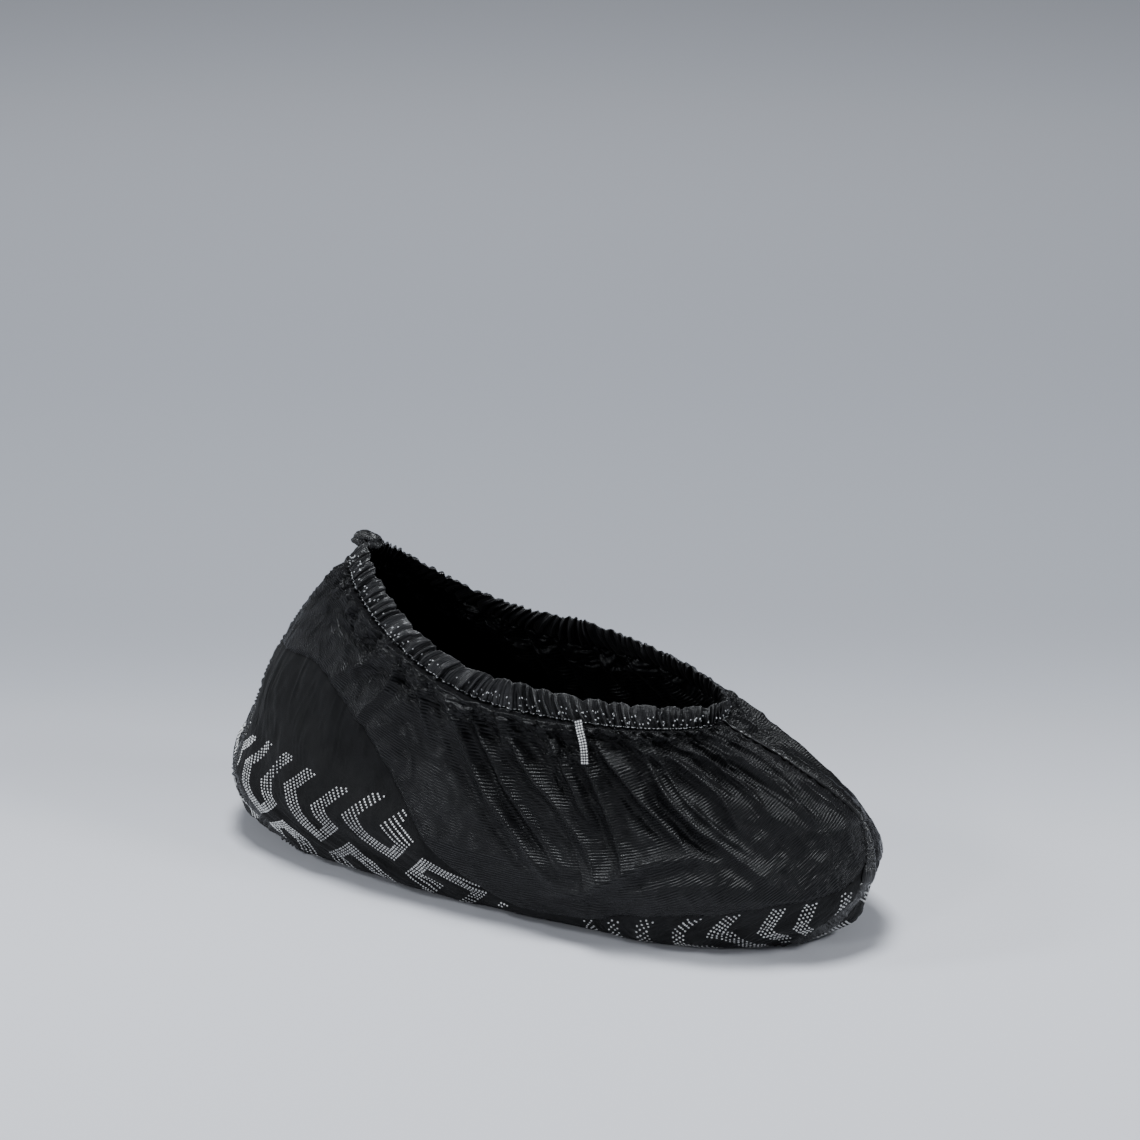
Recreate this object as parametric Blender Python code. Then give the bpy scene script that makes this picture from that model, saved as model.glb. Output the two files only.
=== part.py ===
# Reusable cloth shoe cover, worn and standing on its sole: two mirrored halves
# meet in one seam that runs from the collar over the toe, under the sole and up
# the heel. Each half is a shiny ribbed side panel sewn to a matte printed panel.
import bpy
import bmesh
import math
import numpy as np

for old in list(bpy.data.objects):
    bpy.data.objects.remove(old, do_unlink=True)

LENGTH = 0.300
WIDTH = 0.110
HEIGHT = 0.142
WALL = 0.0012
SEAM_GAP = 0.0003
CASING_WALL = 0.0030
PLEAT_DEPTH = 0.0016
PUFF_DEPTH = 0.0030
FOLD_HEIGHT = 0.0024
FOLD_WIDTH = 0.0050
KNOT_LENGTH = 0.0125
KNOT_HEIGHT = 0.0080
TAB_WIDTH = 0.0036
TAB_THICKNESS = 0.0010
TAB_STAND_OFF = 0.0022

HALF_COLUMNS = 60
CASING_COLUMNS = 180
UPPER_ROWS = 11
SOLE_FLAT_ROWS = 2
SOLE_SIDE_ROWS = 5
CASING_ROWS = 3

# Rings from the sole seam up to the collar edge. Reaches are shares of LENGTH,
# widths and shifts shares of WIDTH, heights shares of HEIGHT, turns in degrees.
RING_COLUMNS = ("back", "front", "middle", "half", "shift", "square_back",
                "square_front", "side_up", "toe_up", "heel_up", "toe_bend",
                "heel_bend", "heel_turn", "toe_turn")
RINGS = (
    (-0.293, 0.333, 0.033, 0.000, -0.209, 2.00, 2.00, 0.000, 0.000, 0.000, 1.0, 1.0, 0, 0),
    (-0.450, 0.413, 0.150, 0.382, 0.000, 2.60, 2.20, 0.000, 0.000, 0.000, 1.0, 1.0, 40, 30),
    (-0.490, 0.480, 0.133, 0.468, 0.000, 2.65, 1.95, 0.070, 0.070, 0.070, 1.0, 1.0, 37, 27),
    (-0.500, 0.500, 0.120, 0.500, 0.000, 2.75, 2.05, 0.190, 0.232, 0.232, 1.0, 1.0, 19, 7),
    (-0.457, 0.477, 0.083, 0.427, 0.000, 2.40, 1.85, 0.373, 0.380, 0.472, 1.5, 1.5, 5, 0),
    (-0.365, 0.357, 0.040, 0.364, 0.000, 2.30, 1.95, 0.556, 0.542, 0.824, 1.5, 1.6, 0, 0),
    (-0.308, 0.267, 0.013, 0.327, 0.000, 2.20, 1.90, 0.658, 0.630, 0.944, 1.4, 1.9, 0, 0),
    (-0.286, 0.270, 0.003, 0.307, 0.000, 1.80, 1.70, 0.736, 0.680, 1.000, 1.0, 2.6, 0, 0),
)
CASING_FOOT = 6.0
CASING_TOP = 7.0

# Height on the shell, in rings, of the seam between printed and shiny panel.
PANEL_SEAM = (
    (0, 3.43), (5, 3.17), (14, 2.94), (25, 2.87), (37, 2.79), (47, 2.65), (58, 2.52),
    (69, 2.42), (82, 2.20), (90, 1.90), (98, 1.80), (104, 1.95), (107, 2.20),
    (110, 2.80), (113, 3.40), (116, 3.78), (120, 4.08), (125, 4.32), (131, 4.43),
    (139, 4.57), (147, 4.61), (153, 4.55), (162, 4.48), (180, 4.40),
)

# Long soft folds that fall from the collar: angle and ring at the top, half way
# and at the foot, then the height and width as shares of the fold sizes.
FOLD_COLUMNS = ("top", "top_ring", "mid", "mid_ring", "foot", "foot_ring", "height", "width")
FOLDS = (
    (107, 5.60, 100, 4.20, 94, 3.10, 1.0, 1.0),
    (95, 5.50, 90, 4.40, 87, 3.40, 1.0, 1.0),
    (76, 5.00, 77, 4.30, 79, 3.45, 0.9, 1.0),
    (57, 5.40, 60, 4.50, 49, 3.60, 0.9, 1.0),
    (36, 5.60, 38, 4.80, 42, 4.10, 0.7, 0.9),
    (25, 5.70, 25, 5.00, 26, 4.25, 0.8, 0.9),
    (7, 5.40, 12, 4.70, 11, 4.25, 0.5, 0.8),
    (125, 5.70, 131, 5.00, 138, 4.65, 0.8, 0.9),
    (123, 5.40, 124, 4.90, 128, 4.40, 0.7, 0.8),
    (122, 5.00, 117, 4.60, 110, 4.38, 0.7, 0.9),
    (152, 6.00, 154, 5.50, 159, 5.10, 0.7, 0.9),
    (150, 4.50, 142, 4.20, 138, 3.30, 0.5, 0.8),
    (160, 4.45, 155, 4.10, 150, 3.60, 0.4, 0.8),
    (96, 2.80, 79, 3.30, 60, 3.70, -0.5, 1.6),
)


def signed_power(value, power):
    return np.sign(value) * np.abs(value) ** power


def ring_points(angle, row):
    ring = dict(zip(RING_COLUMNS, row))
    ahead = ((1 + np.cos(angle)) / 2) ** 3
    behind = ((1 - np.cos(angle)) / 2) ** 3
    turned = angle + math.radians(ring["toe_turn"]) * ahead
    turned = turned - math.radians(ring["heel_turn"]) * behind
    along = np.cos(turned)
    across = np.sin(turned)
    square = np.where(along > 0, ring["square_front"], ring["square_back"])
    reach = np.where(along > 0, ring["front"] - ring["middle"], ring["middle"] - ring["back"])
    x = ring["middle"] + reach * signed_power(along, 2 / square)
    y = ring["shift"] - ring["half"] * signed_power(across, 2 / square)
    toe = np.clip(np.cos(angle), 0, 1) ** ring["toe_bend"]
    heel = np.clip(-np.cos(angle), 0, 1) ** ring["heel_bend"]
    z = ring["side_up"] + (ring["toe_up"] - ring["side_up"]) * toe
    z = z + (ring["heel_up"] - ring["side_up"]) * heel
    return np.stack([x * LENGTH, y * WIDTH, z * HEIGHT], -1)


def end_slope(first, second):
    slope = (3 * first - second) / 2
    slope = np.where(slope * first <= 0, 0.0, slope)
    too_steep = (first * second < 0) & (np.abs(slope) > 3 * np.abs(first))
    return np.where(too_steep, 3 * first, slope)


def shell(angle, level):
    """Smooth shell: angle 0 at the toe and pi at the heel, level counted in rings."""
    points = np.stack([ring_points(angle, row) for row in RINGS])
    step = points[1:] - points[:-1]
    product = step[:-1] * step[1:]
    total = np.where(product > 0, step[:-1] + step[1:], 1.0)
    inner = np.where(product > 0, 2 * product / total, 0.0)
    slope = np.concatenate([end_slope(step[:1], step[1:2]), inner,
                            end_slope(step[-1:], step[-2:-1])])
    low = np.clip(np.floor(level).astype(int), 0, len(RINGS) - 2)
    t = (level - low)[..., None]
    column = np.arange(len(angle))
    p0, p1 = points[low, column], points[low + 1, column]
    m0, m1 = slope[low, column], slope[low + 1, column]
    return ((2 * t**3 - 3 * t**2 + 1) * p0 + (t**3 - 2 * t**2 + t) * m0
            + (3 * t**2 - 2 * t**3) * p1 + (t**3 - t**2) * m1)


def shell_normal(angle, level):
    da, dv = 0.01, 0.02
    around = shell(angle + da, level) - shell(angle - da, level)
    top = np.minimum(level + dv, CASING_TOP)
    bottom = np.maximum(level - dv, 0.0)
    upward = shell(angle, top) - shell(angle, bottom)
    normal = np.cross(upward, around)
    size = np.linalg.norm(normal, axis=-1, keepdims=True)
    return normal / np.maximum(size, 1e-12)


def smooth_step(low, high, value):
    t = np.clip((value - low) / (high - low), 0, 1)
    return t * t * (3 - 2 * t)


def fold_relief(points, angle):
    """Outward lift of every point from the table of folds on its own half."""
    lift = np.zeros(points.shape[:-1])
    for side in (1, -1):
        for row in FOLDS:
            fold = dict(zip(FOLD_COLUMNS, row))
            share = np.linspace(0, 1, 13)
            stops = (0, 0.5, 1)
            turn = np.interp(share, stops, (fold["top"], fold["mid"], fold["foot"]))
            if side < 0:
                turn = 360 - np.clip(turn + 5, 2, 178)
            level = np.interp(share, stops, (fold["top_ring"], fold["mid_ring"], fold["foot_ring"]))
            line = shell(np.radians(turn), level)
            taper = np.sin(np.pi * np.clip(share * 0.86 + 0.09, 0, 1))
            gap = np.linalg.norm(points[..., None, :] - line, axis=-1)
            spread = FOLD_WIDTH * fold["width"]
            bump = np.max(taper * np.exp(-(gap / spread) ** 2), axis=-1)
            lift = lift + FOLD_HEIGHT * fold["height"] * bump
    return lift


def puff_relief(angle, level):
    """Gathered puffs just under the casing."""
    band = smooth_step(4.6, 5.5, level) * (1 - smooth_step(5.6, CASING_FOOT, level))
    wave = 0.62 + 0.38 * np.cos(angle * 30 + 1.3 * np.sin(angle * 3))
    return PUFF_DEPTH * band * wave


def outer_skin(angle, level):
    points = shell(angle, level)
    normal = shell_normal(angle, level)
    lift = fold_relief(points, angle) + puff_relief(angle, level)
    lift = lift * smooth_step(1.3, 2.4, level) * (1 - smooth_step(5.75, CASING_FOOT, level))
    return points + normal * lift[..., None]


def grid_normals(grid, closed):
    if closed:
        around = np.roll(grid, -1, axis=1) - np.roll(grid, 1, axis=1)
    else:
        around = np.gradient(grid, axis=1)
    upward = np.gradient(grid, axis=0)
    normal = np.cross(upward, around)
    size = np.linalg.norm(normal, axis=-1, keepdims=True)
    return normal / np.maximum(size, 1e-12)


def add_body(name, vertices, faces, collection, material):
    mesh = bpy.data.meshes.new(name)
    body = bmesh.new()
    corners = [body.verts.new(tuple(float(c) for c in v)) for v in vertices]
    for face in faces:
        body.faces.new([corners[i] for i in face])
    bmesh.ops.remove_doubles(body, verts=body.verts, dist=1e-6)
    bmesh.ops.triangulate(body, faces=body.faces)
    bmesh.ops.recalc_face_normals(body, faces=body.faces)
    body.to_mesh(mesh)
    body.free()
    item = bpy.data.objects.new(name, mesh)
    collection.objects.link(item)
    mesh.materials.append(material)
    return item


def sheet_body(name, outer, inner, closed, collection, material):
    """Closed thin body between an outer and an inner grid of points."""
    rows, columns = outer.shape[:2]
    vertices = np.concatenate([outer.reshape(-1, 3), inner.reshape(-1, 3)])
    size = rows * columns
    faces = []
    last = columns if closed else columns - 1
    for r in range(rows - 1):
        for c in range(last):
            d = (c + 1) % columns
            a, b = r * columns + c, r * columns + d
            e, f = a + columns, b + columns
            faces.append((a, b, f, e))
            faces.append((size + a, size + e, size + f, size + b))
    for c in range(last):
        d = (c + 1) % columns
        top = (rows - 1) * columns
        faces.append((c, size + c, size + d, d))
        faces.append((top + c, top + d, size + top + d, size + top + c))
    if not closed:
        for r in range(rows - 1):
            for c in (0, columns - 1):
                a, e = r * columns + c, (r + 1) * columns + c
                faces.append((a, e, size + e, size + a))
    return add_body(name, vertices, faces, collection, material)


def cloth(name, colour, roughness, sheen):
    material = bpy.data.materials.new(name)
    material.use_nodes = True
    shader = material.node_tree.nodes["Principled BSDF"]
    shader.inputs["Base Color"].default_value = (*colour, 1)
    shader.inputs["Roughness"].default_value = roughness
    shader.inputs["Sheen Weight"].default_value = sheen
    return material


cover = bpy.data.collections.new("shoe_cover")
bpy.context.scene.collection.children.link(cover)
shiny_cloth = cloth("shiny_ribbed_cloth", (0.022, 0.022, 0.024), 0.38, 0.10)
matte_cloth = cloth("matte_printed_cloth", (0.012, 0.012, 0.013), 0.70, 0.20)
casing_cloth = cloth("gathered_casing_cloth", (0.020, 0.020, 0.022), 0.45, 0.10)
knot_cloth = cloth("knotted_cord_end", (0.010, 0.010, 0.012), 0.55, 0.10)
tab_cloth = cloth("dotted_tab", (0.42, 0.42, 0.42), 0.60, 0.0)

seam_angles = [row[0] for row in PANEL_SEAM]
seam_levels = [row[1] for row in PANEL_SEAM]


def panel_seam(angle):
    turn = np.degrees(angle)
    turn = np.where(turn > 180, 360 - turn, turn)
    return np.interp(turn, seam_angles, seam_levels)


def level_step(angle, level, distance):
    """Rings between a line of levels and its twin at a distance across the cloth."""
    upward = (shell(angle, level + 0.05) - shell(angle, level - 0.05)) / 0.1
    line = shell(angle, level)
    sides = np.stack([np.diff(line, axis=0, prepend=2 * line[:1] - line[1:2]),
                      np.diff(line, axis=0, append=2 * line[-1:] - line[-2:-1])])
    crossing = np.linalg.norm(np.cross(sides, upward), axis=-1)
    crossing = np.min(crossing / np.linalg.norm(sides, axis=-1), axis=0)
    return distance / crossing


def half_grid(angle, levels, side):
    grid = np.stack([outer_skin(angle, level) for level in levels])
    normal = np.stack([shell_normal(angle, level) for level in levels])
    inner = grid - normal * WALL
    flat = grid[..., 2] < 1e-6
    inner[..., 2] = np.where(flat, WALL, np.maximum(inner[..., 2], WALL))
    grid[..., 1] -= side * SEAM_GAP / 2
    inner[..., 1] -= side * SEAM_GAP / 2
    return grid, inner


for half_name, side, start in (("near", 1, 0.0), ("far", -1, math.pi)):
    angle = start + np.linspace(0, math.pi, HALF_COLUMNS + 1)
    seam = panel_seam(angle)
    step = level_step(angle, seam, SEAM_GAP / 2)
    foot = level_step(angle, np.full_like(angle, 5.9), SEAM_GAP)
    share = np.linspace(0, 1, UPPER_ROWS + 1)[:, None]
    levels = (seam + step) * (1 - share) + (CASING_FOOT - foot) * share
    outer, inner = half_grid(angle, levels, side)
    sheet_body(half_name + "_upper", outer, inner, False, cover, shiny_cloth)
    flat = np.linspace(0, 1, SOLE_FLAT_ROWS + 1)[:-1, None] * np.ones_like(angle)
    share = np.linspace(0, 1, SOLE_SIDE_ROWS + 1)[:, None]
    climb = 1 * (1 - share) + (seam - step) * share
    outer, inner = half_grid(angle, np.concatenate([flat, climb]), side)
    sheet_body(half_name + "_sole", outer, inner, False, cover, matte_cloth)

angle = np.linspace(0, 2 * math.pi, CASING_COLUMNS, endpoint=False)
beat = (np.arange(CASING_COLUMNS) + 2) % 4
pleat = np.where(beat == 0, 0.0, np.where(beat == 2, -1.0, -0.5))
rows = []
for share in np.linspace(0, 1, CASING_ROWS + 1):
    level = np.full_like(angle, CASING_FOOT + share * (CASING_TOP - CASING_FOOT))
    normal = shell_normal(angle, level)
    bulge = PLEAT_DEPTH * (0.55 * math.sin(math.pi * share) + 0.45)
    point = shell(angle, level) + normal * (bulge * (pleat + 0.5))[:, None]
    point[:, 2] += share * PLEAT_DEPTH * 0.5 * (pleat + 0.5)
    rows.append(point)
outer = np.stack(rows)
inner = outer - grid_normals(outer, True) * CASING_WALL
sheet_body("collar_casing", outer, inner, True, cover, casing_cloth)

# Bunched end of the elastic's channel, standing on the casing at the heel.
heel_top = shell(np.array([math.pi]), np.array([CASING_TOP]))[0]
centre = np.array([heel_top[0] + 0.06 * KNOT_LENGTH, 0.0,
                   outer[-1, :, 2].max() + KNOT_HEIGHT / 2 + SEAM_GAP])
KNOT_RINGS = 9
KNOT_SPOKES = 16
vertices = [centre + np.array([0, 0, -KNOT_HEIGHT / 2])]
for r in range(1, KNOT_RINGS):
    tilt = math.pi * r / KNOT_RINGS
    for s in range(KNOT_SPOKES):
        turn = 2 * math.pi * s / KNOT_SPOKES
        lobe = 1 + 0.14 * math.cos(2 * turn + 4 * tilt) + 0.10 * math.cos(3 * turn - 2 * tilt)
        spread = math.sin(tilt) * lobe
        rise = -0.5 * KNOT_HEIGHT * signed_power(math.cos(tilt), 0.6)
        vertices.append(centre + np.array([
            0.50 * KNOT_LENGTH * spread * math.cos(turn),
            0.36 * KNOT_LENGTH * spread * math.sin(turn),
            rise]))
vertices.append(centre + np.array([0, 0, KNOT_HEIGHT / 2]))
faces = []
for s in range(KNOT_SPOKES):
    t = (s + 1) % KNOT_SPOKES
    faces.append((0, 1 + t, 1 + s))
    for r in range(KNOT_RINGS - 2):
        a = 1 + r * KNOT_SPOKES
        faces.append((a + s, a + t, a + KNOT_SPOKES + t, a + KNOT_SPOKES + s))
    top = 1 + (KNOT_RINGS - 2) * KNOT_SPOKES
    faces.append((top + s, top + t, len(vertices) - 1))
add_body("collar_knot", vertices, faces, cover, knot_cloth)

# Dotted tab that hangs from the foot of the casing on the near side.
TAB_LINE = ((69.8, 6.15), (71.0, 5.80), (72.8, 5.46), (74.6, 5.20), (76.5, 4.95))
turn = np.radians([row[0] for row in TAB_LINE])
level = np.array([row[1] for row in TAB_LINE])
base = shell(turn, level)
normal = shell_normal(turn, level)
reach = np.array([1.0, 1.55, 2.0, 2.1, 1.9]) * TAB_STAND_OFF
middle = base + normal * reach[:, None]
along = np.gradient(middle, axis=0)
along = along / np.linalg.norm(along, axis=-1, keepdims=True)
across = np.cross(along, normal)
across = across / np.linalg.norm(across, axis=-1, keepdims=True)
out = np.cross(across, along)
out = out * np.sign((out * normal).sum(-1, keepdims=True))
front = np.stack([middle + across * TAB_WIDTH * s + out * TAB_THICKNESS for s in (-0.5, 0.5)], 1)
back = np.stack([middle + across * TAB_WIDTH * s for s in (-0.5, 0.5)], 1)
sheet_body("pull_tab", front, back, False, cover, tab_cloth)
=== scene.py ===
import math
import bpy
import numpy as np
from mathutils import Matrix, Vector, kdtree


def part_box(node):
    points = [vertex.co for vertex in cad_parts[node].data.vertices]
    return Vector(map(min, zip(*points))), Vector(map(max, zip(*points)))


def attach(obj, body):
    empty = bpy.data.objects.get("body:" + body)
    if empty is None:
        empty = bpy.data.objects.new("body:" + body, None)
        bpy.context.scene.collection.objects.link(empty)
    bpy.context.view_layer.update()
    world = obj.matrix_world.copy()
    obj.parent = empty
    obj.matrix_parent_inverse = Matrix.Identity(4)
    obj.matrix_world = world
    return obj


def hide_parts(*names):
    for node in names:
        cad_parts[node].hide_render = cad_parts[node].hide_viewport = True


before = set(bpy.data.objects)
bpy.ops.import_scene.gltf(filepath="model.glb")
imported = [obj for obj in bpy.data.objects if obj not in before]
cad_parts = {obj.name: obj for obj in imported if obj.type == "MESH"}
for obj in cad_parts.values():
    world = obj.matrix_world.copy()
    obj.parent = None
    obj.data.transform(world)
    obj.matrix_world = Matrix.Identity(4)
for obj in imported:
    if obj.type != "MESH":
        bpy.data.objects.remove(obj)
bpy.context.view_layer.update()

# Shiny side panels
# Two mirrored side panels of thin black nylon with a fine rib. They are cut
# long, gathered into the collar and fall in loose folds to the printed panel.

LENGTH, WIDTH, HEIGHT = 0.300, 0.110, 0.142
CLOTH = 0.0005
# Rings of the worn shape from the slit under the sole up to the collar's edge,
# which are levels 0 to 7. Reaches are shares of LENGTH, widths and shifts shares
# of WIDTH, heights shares of HEIGHT, turns in degrees.
RING_COLUMNS = ("back", "front", "middle", "half", "shift", "square_back",
                "square_front", "side_up", "toe_up", "heel_up", "toe_bend",
                "heel_bend", "heel_turn", "toe_turn")
RINGS = (
    (-0.293, 0.333, 0.033, 0.000, -0.209, 2.00, 2.00, 0.000, 0.000, 0.000, 1.0, 1.0, 0, 0),
    (-0.450, 0.413, 0.150, 0.382, 0.000, 2.60, 2.20, 0.000, 0.000, 0.000, 1.0, 1.0, 40, 30),
    (-0.490, 0.480, 0.133, 0.468, 0.000, 2.65, 1.95, 0.070, 0.070, 0.070, 1.0, 1.0, 37, 27),
    (-0.500, 0.500, 0.120, 0.500, 0.000, 2.75, 2.05, 0.190, 0.232, 0.232, 1.0, 1.0, 19, 7),
    (-0.457, 0.477, 0.083, 0.427, 0.000, 2.40, 1.85, 0.373, 0.380, 0.472, 1.5, 1.5, 5, 0),
    (-0.365, 0.357, 0.040, 0.364, 0.000, 2.30, 1.95, 0.556, 0.542, 0.824, 1.5, 1.6, 0, 0),
    (-0.308, 0.267, 0.013, 0.327, 0.000, 2.20, 1.90, 0.658, 0.630, 0.944, 1.4, 1.9, 0, 0),
    (-0.286, 0.270, 0.003, 0.307, 0.000, 1.80, 1.70, 0.736, 0.680, 1.000, 1.0, 2.6, 0, 0),
)
# Seam under the side panel: degrees from the toe, then its level.
PANEL_SEAM = (
    (0, 3.43), (5, 3.17), (14, 2.94), (25, 2.87), (37, 2.79), (47, 2.65), (58, 2.52),
    (69, 2.42), (82, 2.20), (90, 1.90), (98, 1.80), (104, 1.95), (107, 2.20),
    (110, 2.80), (113, 3.40), (116, 3.78), (120, 4.08), (125, 4.32), (131, 4.43),
    (139, 4.57), (147, 4.61), (153, 4.55), (162, 4.48), (180, 4.40),
)
CASING_FOOT, CASING_TOP = 6.0, 7.0
EDGE_LEVEL = 2.2
PLEATS = 126
SIDE_COLUMNS, SIDE_ROWS = 480, 92
# Name of each half, side towards the camera or away, and angle where it starts.
HALVES = (("near", 1, 0.0), ("far", -1, math.pi))


def signed_power(value, power):
    return np.sign(value) * np.abs(value) ** power


def smooth_step(low, high, value):
    t = np.clip((value - low) / (high - low), 0, 1)
    return t * t * (3 - 2 * t)


def unit(vector):
    return vector / np.maximum(np.linalg.norm(vector, axis=-1, keepdims=True), 1e-12)


def length(vector):
    return np.linalg.norm(vector, axis=-1)


def spread(down, across):
    """Pairs of values on a grid, from its rows and columns."""
    return np.stack(np.broadcast_arrays(down, across), -1)


def run_along(points):
    """Distance from the first point to each point of a line."""
    return np.concatenate([[0], np.cumsum(length(np.diff(points, axis=0)))])


def points_at(wanted, known, points):
    """Points of a line at other distances along it."""
    return np.stack([np.interp(wanted, known, points[:, k]) for k in range(3)], 1)


def ring_points(angle, row):
    """Points at the given angles of one row of RINGS."""
    ring = dict(zip(RING_COLUMNS, row))
    ahead = ((1 + np.cos(angle)) / 2) ** 3
    behind = ((1 - np.cos(angle)) / 2) ** 3
    turned = angle + math.radians(ring["toe_turn"]) * ahead
    turned = turned - math.radians(ring["heel_turn"]) * behind
    along, across = np.cos(turned), np.sin(turned)
    square = np.where(along > 0, ring["square_front"], ring["square_back"])
    reach = np.where(along > 0, ring["front"] - ring["middle"], ring["middle"] - ring["back"])
    x = ring["middle"] + reach * signed_power(along, 2 / square)
    y = ring["shift"] - ring["half"] * signed_power(across, 2 / square)
    toe = np.clip(np.cos(angle), 0, 1) ** ring["toe_bend"]
    heel = np.clip(-np.cos(angle), 0, 1) ** ring["heel_bend"]
    z = ring["side_up"] + (ring["toe_up"] - ring["side_up"]) * toe
    z = z + (ring["heel_up"] - ring["side_up"]) * heel
    return np.stack([x * LENGTH, y * WIDTH, z * HEIGHT], -1)


def end_slope(first, second):
    """Slope at the end of a smooth curve that doesn't overshoot its points."""
    slope = (3 * first - second) / 2
    slope = np.where(slope * first <= 0, 0.0, slope)
    too_steep = (first * second < 0) & (np.abs(slope) > 3 * np.abs(first))
    return np.where(too_steep, 3 * first, slope)


def worn_shape(angle, level):
    """Smooth worn shape: angle 0 at the toe and pi at the heel, level 0 under the sole."""
    angle, level = np.broadcast_arrays(angle, level)
    turn, height = angle.ravel(), level.ravel()
    points = np.stack([ring_points(turn, row) for row in RINGS])
    step = points[1:] - points[:-1]
    product = step[:-1] * step[1:]
    total = np.where(product > 0, step[:-1] + step[1:], 1.0)
    inner = np.where(product > 0, 2 * product / total, 0.0)
    slope = np.concatenate([end_slope(step[:1], step[1:2]), inner,
                            end_slope(step[-1:], step[-2:-1])])
    low = np.clip(np.floor(height).astype(int), 0, len(RINGS) - 2)
    t = (height - low)[:, None]
    place = np.arange(len(turn))
    p0, p1 = points[low, place], points[low + 1, place]
    m0, m1 = slope[low, place], slope[low + 1, place]
    mixed = ((2 * t**3 - 3 * t**2 + 1) * p0 + (t**3 - 2 * t**2 + t) * m0
             + (3 * t**2 - 2 * t**3) * p1 + (t**3 - t**2) * m1)
    return mixed.reshape(*angle.shape, 3)


def outward(angle, level):
    """Unit normals of the worn shape."""
    around = worn_shape(angle + 0.01, level) - worn_shape(angle - 0.01, level)
    upward = (worn_shape(angle, np.minimum(level + 0.02, CASING_TOP))
              - worn_shape(angle, np.maximum(level - 0.02, 0.0)))
    return unit(np.cross(upward, around))


def panel_seam(angle):
    """Level of the seam under the side panel, with its corners softened."""
    turn = np.degrees(angle) % 360
    turn = np.where(turn > 180, 360 - turn, turn)
    table = np.array(PANEL_SEAM)
    return sum(np.interp(np.clip(turn + d, 0, 180), table[:, 0], table[:, 1])
               for d in (-2.4, -1.2, 0, 1.2, 2.4)) / 5


def cloth_noise(u, v, seed):
    """Smooth seeded noise between -1 and 1 on a lattice of random values."""
    cells = np.random.default_rng(seed).uniform(-1, 1, (64, 64))
    iu, iv = np.floor(u).astype(int), np.floor(v).astype(int)
    fu, fv = u - iu, v - iv
    fu, fv = fu * fu * (3 - 2 * fu), fv * fv * (3 - 2 * fv)
    a, b = cells[iu % 64, iv % 64], cells[(iu + 1) % 64, iv % 64]
    c, d = cells[iu % 64, (iv + 1) % 64], cells[(iu + 1) % 64, (iv + 1) % 64]
    return (a * (1 - fu) + b * fu) * (1 - fv) + (c * (1 - fu) + d * fu) * fv


def pleat_turn(angle):
    """Pleat count round the collar, spaced a little unevenly."""
    return (PLEATS * angle / (2 * math.pi) + 0.40 * np.sin(angle * 7 + 0.6)
            + 0.25 * np.sin(angle * 17 + 2.1) + 0.14 * np.sin(angle * 41 + 1.0))


# Crest of each fold from the collar down: angle and level of its points, then
# its height and its half width. Both are scaled by the next two values.
FOLD_HEIGHT, FOLD_WIDTH = 0.00175, 0.00072
NEAR_FOLDS = (
    ((108.5, 5.85, 107.3, 5.59, 103.8, 4.76, 101, 4.34, 98, 3.9, 94.8, 3.38, 93.2, 2.9), 2.6, 3.4),
    ((102.6, 5.7, 102.2, 5.26, 99, 4.82, 96.5, 4.31, 94.5, 3.94, 92.8, 3.51, 92.2, 3.1), 2.0, 2.6),
    ((95.5, 5.8, 94.5, 5.48, 93.5, 4.92, 91.2, 4.44, 88.8, 4.07, 86.2, 3.69, 86.8, 3.2), 2.4, 3.2),
    ((84, 5.7, 83.5, 5.3, 84, 4.8, 83.2, 4.3, 82.5, 4.0), 1.6, 2.4),
    ((77, 5.2, 77, 4.9, 77, 4.33, 77.8, 3.69, 79, 3.3), 2.0, 2.8),
    ((69.8, 5.5, 69.8, 5.18, 67.8, 4.47, 64.2, 4.07, 61, 3.7), 2.0, 2.8),
    ((56, 5.8, 56.5, 5.4, 60.5, 4.57, 57.2, 4.12, 49.5, 3.67, 40, 3.2), 2.6, 3.0),
    ((52.5, 5.7, 53.2, 5.3, 56.6, 4.6, 53.0, 4.10, 46.0, 3.72), 1.6, 2.0),
    ((49, 5.6, 48.5, 5.11, 45.5, 4.62, 49.2, 4.0), 1.9, 2.6),
    ((38, 5.8, 37, 5.2, 35, 4.7, 38, 4.3), 1.5, 2.4),
    ((25, 5.85, 25, 5.77, 25, 5.08, 23, 4.58, 26, 4.2), 2.4, 2.8),
    ((15, 5.8, 15, 5.3, 16.5, 4.8, 18, 4.5), 1.5, 2.2),
    ((5.5, 5.7, 6, 5.38, 13.5, 4.66, 11.2, 4.2), 1.4, 2.2),
    ((94.4, 2.6, 93.2, 2.73, 85.8, 3.14, 71.5, 3.56, 59, 3.69, 52, 3.6), 1.6, 3.4),
    ((138.2, 4.58, 131.8, 4.98, 126.8, 5.67), 1.7, 2.8),
    ((128.0, 4.38, 123.2, 4.87, 123.5, 5.45, 122.8, 5.8), 1.5, 2.6),
    ((123, 4.47, 115.8, 4.46, 110.2, 4.38), 0.9, 3.6),
    ((158.2, 5.11, 152, 5.64, 151.8, 5.95), 1.2, 2.2),
    ((166, 4.7, 160, 5.2, 158, 5.8), 0.9, 2.4),
    ((116.5, 5.8, 115.8, 5.4, 113.2, 4.9, 110, 4.5), 1.3, 2.4),
)
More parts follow.
